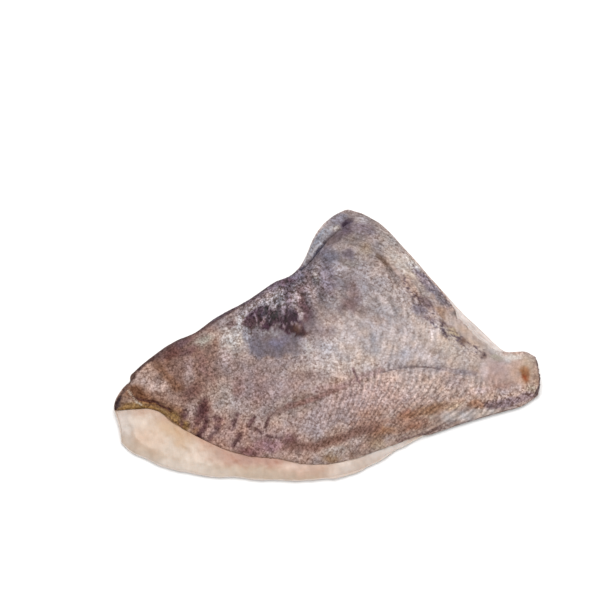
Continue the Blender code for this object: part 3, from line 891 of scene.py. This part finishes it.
# %% Skin colours
# Painted shade for the grooves between the rib wrinkles and between the muscle rows.
RIB_SHADE_COLOUR, RIB_SHADE_STRENGTH, ROW_SHADE = (86, 57, 57), 0.8, 0.21
ROOT_FLECKS = ((46, 28), (50, 21), (55, 11), (60, 2), (67, -4), (74, -9.5), (81, -14))
OUTER_FLECKS = ((50, 38), (58, 27), (67, 15))


def along_rows(points):
    """Places counted across the rows and, squeezed to less than half, along them, so that a cloud
    read there comes out as streaks."""
    return np.stack((row_coordinate(points) * 1.2, points[..., 1] * 0.5), axis=-1)


def skin_colours(points):
    """The ground colour with the broad tones, the marks and the lines painted over it in turn,
    then flecks in the spot, along the fin's roots and on the shoulder, and then the shade in the
    grooves. Display values from 0 to 255."""
    loose, tight = bent(points, 3.0, 12.0, 81), bent(points, 0.9, 3.6, 91)
    nearly = bent(points, 0.4, 3.0, 93)
    in_rows = along_rows(points)
    streaked = tight + cloud(in_rows, 1.4, 97, layers=2)[..., None] * (0.4, 1.3)
    colours = plain(points, GROUND)
    for marks, place in ((BROAD_TONES, loose), (SPOT_MARKS, tight), (BLACK_MARKS, streaked),
                         (PALE_MARKS, streaked), (HEAD_MARKS, tight), (NAPE_MARKS, tight),
                         (FIN_MARKS, tight), (BELLY_MARKS, tight), (TAIL_MARKS, tight)):
        colours = paint_marks(colours, marks, place)
    for path, half_width, colour, strength in LINES:
        colours = paint(colours, colour, strength * stripe(nearly, path, half_width))
    spot = oval(tight, (-23, 13), (15, 9), -8, 0.4)
    roots = np.maximum(stripe(nearly, ROOT_FLECKS, 3.4), 0.9 * stripe(nearly, OUTER_FLECKS, 2.6))
    shoulder_area = oval(tight, (13, 20), (13, 9), 35, 0.6)
    for area, place, size, seed, low, high, colour, strength in (
            (spot, in_rows, 1.5, 95, 0.25, 0.9, (168, 150, 152), 0.75),
            (roots, points, 1.15, 99, 0.12, 0.7, (84, 68, 76), 0.8),
            (shoulder_area, in_rows, 1.7, 103, 0.1, 0.9, (92, 72, 74), 0.6)):
        flecks = smooth_step(low, high, cloud(place, size, seed, layers=2))
        colours = paint(colours, colour, strength * flecks * area)
    # painted shade in the grooves between the ribs' wrinkles, then between the muscle rows
    colours = paint(colours, RIB_SHADE_COLOUR, RIB_SHADE_STRENGTH * rib_grooves(points))
    return colours * (1 - ROW_SHADE * row_grooves(points))[..., None]


def mottled(colours, points):
    """The colours times one plus a cloud of blotches, one of freckles and one of streaks along the
    rows, strongest above the spot. On the flank fine streaks take the place of most freckles. One
    more cloud pushes the colours to warm or cool."""
    in_rows = along_rows(points)
    streaky = 0.05 + 0.28 * oval(points, (-17, 25), (24, 12), 25, 0.6)
    flank = oval(points, (36, 2), (34, 22), -30, 0.6)
    change = (0.03 * cloud(points, 8.0, 111)
              + (0.05 - 0.03 * flank) * cloud(points, 2.6, 121, layers=2)
              + streaky * cloud(in_rows, 2.4, 127, layers=2)
              + 0.11 * flank * cloud(in_rows * (1, 0.5), 1.5, 137, layers=1))
    warmth = cloud(points, 6.0, 131)[..., None] * np.array((0.025, 0.0, -0.03))
    return colours * (1 + change[..., None] + warmth)


# %% Speckle
TRIM_LINE = ((58, 19), (68, 8), (76, -2), (86, -10.5))
PALE_HEM = ((56, -47), (66, -47), (78, -46), (88, -44.5))
TAIL_HEM = ((80, -42.5), (92, -40.5), (101, -38.5), (108, -34.5))
SPECK_BASE = 0.94
SPECK_OVALS = (
    # centre, radii, turn, softness, change of the strength
    ((-20, 23), (27, 13), 25, 0.6, 0.75),
    ((-22, 10), (15, 6.5), -14, 0.3, -0.4),
    ((-25, -2), (15, 8), 0, 0.2, -0.3),
    ((-64, -28), (34, 26), -20, 0.6, 0.15),
    ((38, -6), (46, 18), -20, 0.7, -0.38),
    ((47, 33), (6, 16), 40, 0.5, -0.3),
    ((16, 52), (16, 24), -20, 0.6, -0.2),
    ((96, -24), (18, 10), 0, 0.5, -0.6),
    ((56, 18), (4, 16), 45, 0.5, 0.3),
)
SPECK_LINES = (
    # path, half-width, change of the strength
    (TAIL_HEM, 3, 0.5), (PALE_HEM, 3, -0.55), (OUTER_FLECKS, 3, 0.35), (TRIM_LINE, 4.5, -0.6),
)


def speck_strength(points):
    """How strongly the skin is speckled: most above the spot, at the head end, along the fin's
    outer roots and the tail's hem, less on the flank and the nape, and hardly where it is trimmed
    thin or on the tail."""
    strength = SPECK_BASE
    for centre, radii, turn, soft, change in SPECK_OVALS:
        strength = strength + change * oval(points, centre, radii, turn, soft)
    for path, half_width, change in SPECK_LINES:
        strength = strength + change * stripe(points, path, half_width)
    return strength


top_colours = linear(mottled(skin_colours(skin_plan), skin_plan), SKIN_LIGHT, SKIN_GLOSS)
print("mean skin colour", top_colours.mean((0, 1)).round(3))

# %% [markdown]
# The underside and the rim need colours too. The skin's inner face is silvery, and its cut rim is
# darker than its top. The muscle rows are kept as coordinates, so that the fine streaks of the
# material can follow them.

# %% Skin attributes
RIM_SHADE = (0.12, 0.15, 0.16)
SILVER = (186, 178, 178)
INNER_SPECKS = 0.3


def slab_values(top, under, rings):
    """One row of values for each vertex of a slab, in the slab's order."""
    return np.concatenate([part.reshape(-1, top.shape[-1]) for part in (top, under, rings)])


def store_tint(piece, top, under, rings):
    """Keeps the colours as an opaque colour attribute."""
    tint = slab_values(top, under, rings)
    store(piece, "tint", np.concatenate((tint, np.ones((len(tint), 1))), 1), "FLOAT_COLOR")


def twice(rim):
    """The same values for both of the skin's rings."""
    return np.stack((rim, rim))


back_half = (np.arange(SKIN_ROWS) > SKIN_ROWS / 2)[:, None]
on_strip = smooth_curve(BACK_TRIM, skin_plan[..., 0]) * back_half
darkness = 1 - smooth_step(0.5, 3.0, rim_of(on_strip[..., None]))
rim_colours = rim_of(top_colours) * (1 - darkness * RIM_SHADE)
inner_colours = linear(plain(skin_plan, SILVER), FLESH_LIGHT, FLESH_GLOSS)
store_tint(skin_piece, top_colours, inner_colours, twice(rim_colours))
row_place = np.stack((row_coordinate(skin_plan), skin_plan[..., 1], 0 * skin_plan[..., 1]), -1)
row_values = slab_values(row_place, row_place, twice(rim_of(row_place)))
store(skin_piece, "rows", row_values, "FLOAT_VECTOR")
specks = speck_strength(skin_plan)[..., None]
speck_values = slab_values(specks, INNER_SPECKS * specks, twice(rim_of(specks)))
store(skin_piece, "specks", speck_values, "FLOAT")
print("speck strength from", specks.min().round(2), "to", specks.max().round(2))

# %% [markdown]
# ## Finish of the skin
#
# The scales of this fish are tiny, so the skin looks finely speckled: pale dots in a dark net,
# which stretch into short streaks along the muscle rows. A Voronoi texture gives the dots, and two
# noise textures break them up. The colour attribute is darkened and lightened by them, and the
# same pattern raises a low bump under a moist coat.

# %% Node helpers
def new_material(name):
    """A material with its node tree and its shader."""
    material = bpy.data.materials.new(name)
    material.use_nodes = True
    return material, material.node_tree, material.node_tree.nodes["Principled BSDF"]


def add_node(tree, kind, links=None, **settings):
    """A node of this kind. Its settings are properties, or values of its sockets by name, and its
    links say which socket of another node feeds which of its own."""
    node = tree.nodes.new(kind)
    for key, value in settings.items():
        if hasattr(node, key):
            setattr(node, key, value)
        else:
            node.inputs[key.replace("_", " ")].default_value = value
    for key, socket in (links or {}).items():
        tree.links.new(socket, node.inputs[key])
    return node


def kept_value(tree, name, output):
    """The socket that gives what the mesh keeps under a name."""
    return add_node(tree, "ShaderNodeAttribute", attribute_name=name).outputs[output]


def set_sockets(shader, **values):
    """Gives the shader's own sockets one value all over the surface."""
    for name, value in values.items():
        shader.inputs[name.replace("_", " ")].default_value = value


def reckon(tree, operation, first, second, third=0.0):
    """A Math node's result on two or three sockets or numbers."""
    node = tree.nodes.new("ShaderNodeMath")
    node.operation = operation
    for place, value in enumerate((first, second, third)):
        if isinstance(value, (int, float)):
            node.inputs[place].default_value = value
        else:
            tree.links.new(value, node.inputs[place])
    return node.outputs[0]


def tinted(tree, fac, first, second, blend="MIX"):
    """A colour Mix node's result on sockets or colours."""
    node = tree.nodes.new("ShaderNodeMix")
    node.data_type = "RGBA"
    node.blend_type = blend
    for place, value in ((0, fac), (6, first), (7, second)):
        if isinstance(value, (int, float)):
            node.inputs[place].default_value = value
        elif isinstance(value, tuple):
            node.inputs[place].default_value = (*value, 1.0)
        else:
            tree.links.new(value, node.inputs[place])
    return node.outputs[2]


# %% Skin material
skin_material, tree, shader = new_material("mottled_fish_skin")
place = tree.nodes.new("ShaderNodeTexCoord").outputs["Object"]
tint = kept_value(tree, "tint", "Color")
rows = kept_value(tree, "rows", "Vector")
strength = kept_value(tree, "specks", "Fac")
scales = add_node(tree, "ShaderNodeTexVoronoi", {"Vector": place}, Scale=1050.0)
shade = add_node(tree, "ShaderNodeSeparateColor", {"Color": scales.outputs["Color"]}).outputs[0]
grain = add_node(tree, "ShaderNodeTexNoise", {"Vector": place}, Scale=560.0, Detail=3.0,
                 Roughness=0.55)
stretched = add_node(tree, "ShaderNodeMapping", {"Vector": rows}, Scale=(0.92, 0.36, 1.0))
streaks = add_node(tree, "ShaderNodeTexNoise", {"Vector": stretched.outputs[0]}, Scale=1.0,
                   Detail=2.0, Roughness=0.6)
speck = reckon(tree, "MULTIPLY_ADD", shade, 1.2, -0.6)
for socket, gain, offset in ((scales.outputs["Distance"], -0.9, 0.4),
                             (grain.outputs["Fac"], 2.3, -1.15),
                             (streaks.outputs["Fac"], 1.9, -0.95)):
    speck = reckon(tree, "ADD", speck, reckon(tree, "MULTIPLY_ADD", socket, gain, offset))
fac = reckon(tree, "MULTIPLY_ADD", reckon(tree, "MULTIPLY", speck, strength), 0.5, 0.5)
dark = tinted(tree, 1.0, tint, (0.42, 0.34, 0.30), "MULTIPLY")
light = tinted(tree, 1.0, tint, (1.45, 1.55, 1.62), "MULTIPLY")
flecks = reckon(tree, "MULTIPLY", reckon(tree, "MULTIPLY", strength, strength), 0.2)
light = tinted(tree, flecks, light, (0.134, 0.116, 0.128), "ADD")
clamped = add_node(tree, "ShaderNodeClamp", {"Value": fac})
tree.links.new(tinted(tree, clamped.outputs[0], dark, light), shader.inputs["Base Color"])
bump = add_node(tree, "ShaderNodeBump", {"Height": speck}, Strength=0.4, Distance=0.0003)
tree.links.new(bump.outputs[0], shader.inputs["Normal"])
rough = reckon(tree, "MULTIPLY_ADD", grain.outputs["Fac"], 0.25, 0.34)
tree.links.new(rough, shader.inputs["Roughness"])
set_sockets(shader, Specular_IOR_Level=0.1, Coat_Weight=0.04, Coat_Roughness=0.2)
skin_piece.data.materials.append(skin_material)
print(skin_material.name, "has", len(tree.nodes), "nodes")

# %% [markdown]
# ## Colours and finish of the flesh
#
# Raw white fish is cream with a pink cast, pinker against the skin and greyer where it is thin. It
# lets light in, so a little subsurface scattering softens its shadows, and a wet gloss lies on it.
# Faint pale lines run across it where the muscle's flakes meet.

# %% Flesh colours
# The cut sides are a paler cream: painted light that makes up for their shade.
CREAM, UNDER_CREAM, LIT_CUT_CREAM = (218, 197, 178), (228, 210, 196), (232, 216, 206)
TOP_DIMMING = 0.84
ROSY_SHARE, ROSY_HALF_WIDTH = 0.47, 0.13
FLESH_MARKS = (
    # x, y, long radius, short radius, turn, softness, colour, strength
    (-108, -36, 8, 10, 0, 0.7, (208, 196, 189), 0.8),  # greyer corner behind the head
    (-80, -44, 9, 5, -30, 0.7, (197, 158, 116), 0.85),  # orange against the skin's olive rim
    (-97, -45, 8, 6, -30, 0.7, (217, 180, 151), 0.7),
    (-98, -34, 8, 3, 0, 0.7, (226, 208, 192), 0.7),
    (-70, -57, 7, 2.6, -20, 0.7, (224, 200, 182), 0.6),
    (-84, -62, 26, 4, -14, 0.7, (240, 226, 214), 0.8),  # whiter towards the lower edge: painted light coming through the thin flesh
    (-67, -50, 9, 4, -28, 0.7, (192, 138, 108), 0.75),  # salmon where the ribs end
    (-42, -62, 18, 4, -10, 0.7, (172, 118, 94), 0.8),
    (-16, -69, 12, 4, 0, 0.7, (222, 190, 174), 0.7),
    # painted light through the thin lower edge, as above
    (4, -71, 9, 3.5, 8, 0.7, (240, 224, 214), 0.85),
    (30, -61, 18, 5, 22, 0.7, (242, 234, 230), 0.85),
)


def flesh_colours(points):
    """Cream, darker and pinker within some millimetres of the skin's edge, then the named areas,
    and paler along the fin's cut. Display values from 0 to 255."""
    colours = plain(points, CREAM)
    loose = bent(points, 2.5, 9.0, 131)
    colours = paint(colours, (190, 148, 120), 0.85 * furrow(loose, SKIN_RIM, 6.0))
    colours = paint(colours, (196, 134, 106), 0.5 * stripe(loose, SKIN_EDGE[4:9], 2.8))
    colours = paint_marks(colours, FLESH_MARKS, loose)
    colours = paint(colours, (222, 210, 206), 0.9 * stripe(loose, FIN_RIM[::6], 9.0))
    uneven = 0.025 * cloud(points, 5.0, 141) + 0.02 * cloud(points, 2.0, 143)
    return colours * (1 + uneven)[..., None]


def under_colours(points):
    """Pale cream, with a rosy middle muscle and deeper pink along the seams."""
    colours = plain(points, UNDER_CREAM)
    share = np.linspace(0, 1, COVERED_ROWS)[:, None]
    rosy = np.zeros(points.shape[:-1])
    rosy[-COVERED_ROWS:] = np.exp(-(((share - ROSY_SHARE) / ROSY_HALF_WIDTH) ** 2))
    colours = paint(colours, (220, 186, 176), 0.7 * rosy)
    seams = np.clip(under_z / SEAM_DEPTH, 0, 1)
    return paint(colours, (198, 150, 142), 0.6 * seams)


flesh_tops = TOP_DIMMING * linear(flesh_colours(flesh_plan), FLESH_LIGHT, FLESH_GLOSS)
flesh_unders = linear(under_colours(flesh_plan), FLESH_LIGHT, FLESH_GLOSS)
cut_colours = linear(plain(flesh_rings, LIT_CUT_CREAM), FLESH_LIGHT, FLESH_GLOSS)
store_tint(flesh_piece, flesh_tops, flesh_unders, cut_colours)
print("mean flesh colour", flesh_tops.mean((0, 1)).round(3))

# %% Flesh material
flesh_material, tree, shader = new_material("raw_white_fish")
place = tree.nodes.new("ShaderNodeTexCoord").outputs["Object"]
tint = kept_value(tree, "tint", "Color")
turned = add_node(tree, "ShaderNodeMapping", {"Vector": place}, Rotation=(0.0, 0.0, 0.45),
                  Scale=(1.0, 0.22, 1.0))
fibres = add_node(tree, "ShaderNodeTexNoise", {"Vector": turned.outputs[0]}, Scale=420.0,
                  Detail=4.0, Roughness=0.6)
grain = add_node(tree, "ShaderNodeTexNoise", {"Vector": place}, Scale=500.0, Detail=3.0)
mixed = reckon(tree, "ADD", reckon(tree, "MULTIPLY_ADD", fibres.outputs["Fac"], 1.2, -0.6),
               reckon(tree, "MULTIPLY_ADD", grain.outputs["Fac"], 0.8, -0.4))
fac = reckon(tree, "MULTIPLY_ADD", mixed, 1.0, 0.5)
dark = tinted(tree, 1.0, tint, (0.88, 0.84, 0.80), "MULTIPLY")
light = tinted(tree, 1.0, tint, (1.06, 1.07, 1.08), "MULTIPLY")
tree.links.new(tinted(tree, fac, dark, light), shader.inputs["Base Color"])
bump = add_node(tree, "ShaderNodeBump", {"Height": mixed}, Strength=0.25, Distance=0.0004)
tree.links.new(bump.outputs[0], shader.inputs["Normal"])
set_sockets(shader, Roughness=0.38, Subsurface_Weight=0.25, Subsurface_Radius=(1.0, 0.72, 0.58),
            Subsurface_Scale=0.003, Coat_Weight=0.15, Coat_Roughness=0.2)
flesh_piece.data.materials.append(flesh_material)
print(flesh_material.name, "has", len(tree.nodes), "nodes")

# %% [markdown]
# ## Into the frame
#
# Each fine piece stands in for its plain solid: the frame hides the solid but keeps it for
# contact.

# %% Replace the solids
for piece, node, slot in ((flesh_piece, "flesh", "fish_flesh"), (skin_piece, "skin", "fish_skin")):
    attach(piece, "root")
    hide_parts(node)

# %% [markdown]
# ## Light, floor and camera
#
# The fillet lies on a plain white floor under soft light. A large lamp above and a little behind
# it shapes the relief, and an even world fills the shadows. The camera looks down steeply through
# a long lens, so the outline keeps its true proportions.

# %% Floor and light
FLOOR_DROP = 0.0002
WORLD_STRENGTH = 0.78
LAMP_PLACE, LAMP_SIZE, LAMP_POWER = (0.05, 0.50, 1.15), 0.7, 9.0

floor_mesh = bpy.data.meshes.new("floor")
floor_mesh.from_pydata([(-3, -3, 0), (3, -3, 0), (3, 3, 0), (-3, 3, 0)], [], [(0, 1, 2, 3)])
floor = bpy.data.objects.new("floor", floor_mesh)
floor.location.z = -FLOOR_DROP
bpy.context.scene.collection.objects.link(floor)
floor_material, tree, shader = new_material("white_floor")
set_sockets(shader, Base_Color=(0.93, 0.93, 0.93, 1.0), Roughness=0.9, Specular_IOR_Level=0.1)
floor_mesh.materials.append(floor_material)

world = bpy.data.worlds.new("soft_white")
bpy.context.scene.world = world
world.use_nodes = True
background = world.node_tree.nodes["Background"]
set_sockets(background, Color=(1.0, 1.0, 1.0, 1.0), Strength=WORLD_STRENGTH)


def soft_lamp(name, place, size, power):
    """A square lamp at a place, turned to face the fillet."""
    lamp = bpy.data.lights.new(name, "AREA")
    lamp.size = size
    lamp.energy = power
    holder = bpy.data.objects.new(name, lamp)
    holder.location = place
    holder.rotation_euler = Vector(place).to_track_quat("Z", "Y").to_euler()
    bpy.context.scene.collection.objects.link(holder)


soft_lamp("window", LAMP_PLACE, LAMP_SIZE, LAMP_POWER)
bpy.context.scene.view_settings.view_transform = "Standard"

# %% Camera
ELEVATION, AZIMUTH = math.radians(68.0), math.radians(-4.8)
FRAME_WIDTH, LENS = 0.3166, 500.0
AIM = Vector((0.00228, 0.00104, 0.0))
RIGHT_SHIFT, UP_SHIFT = -0.01472, 0.02321

right = Vector((math.cos(AZIMUTH), math.sin(AZIMUTH), 0.0))
look = Vector((-math.sin(AZIMUTH) * math.cos(ELEVATION), math.cos(AZIMUTH) * math.cos(ELEVATION),
               -math.sin(ELEVATION)))
up = right.cross(look)
target = AIM + right * RIGHT_SHIFT + up * UP_SHIFT
camera_data = bpy.data.cameras.new("long_lens")
camera_data.lens = LENS
camera_data.clip_end = 20.0
camera = bpy.data.objects.new("long_lens", camera_data)
camera.location = target - look * (FRAME_WIDTH * LENS / camera_data.sensor_width)
camera.rotation_euler = Euler((math.pi / 2 - ELEVATION, 0.0, AZIMUTH))
bpy.context.scene.collection.objects.link(camera)
bpy.context.scene.camera = camera
print("camera at", [round(value, 3) for value in camera.location])
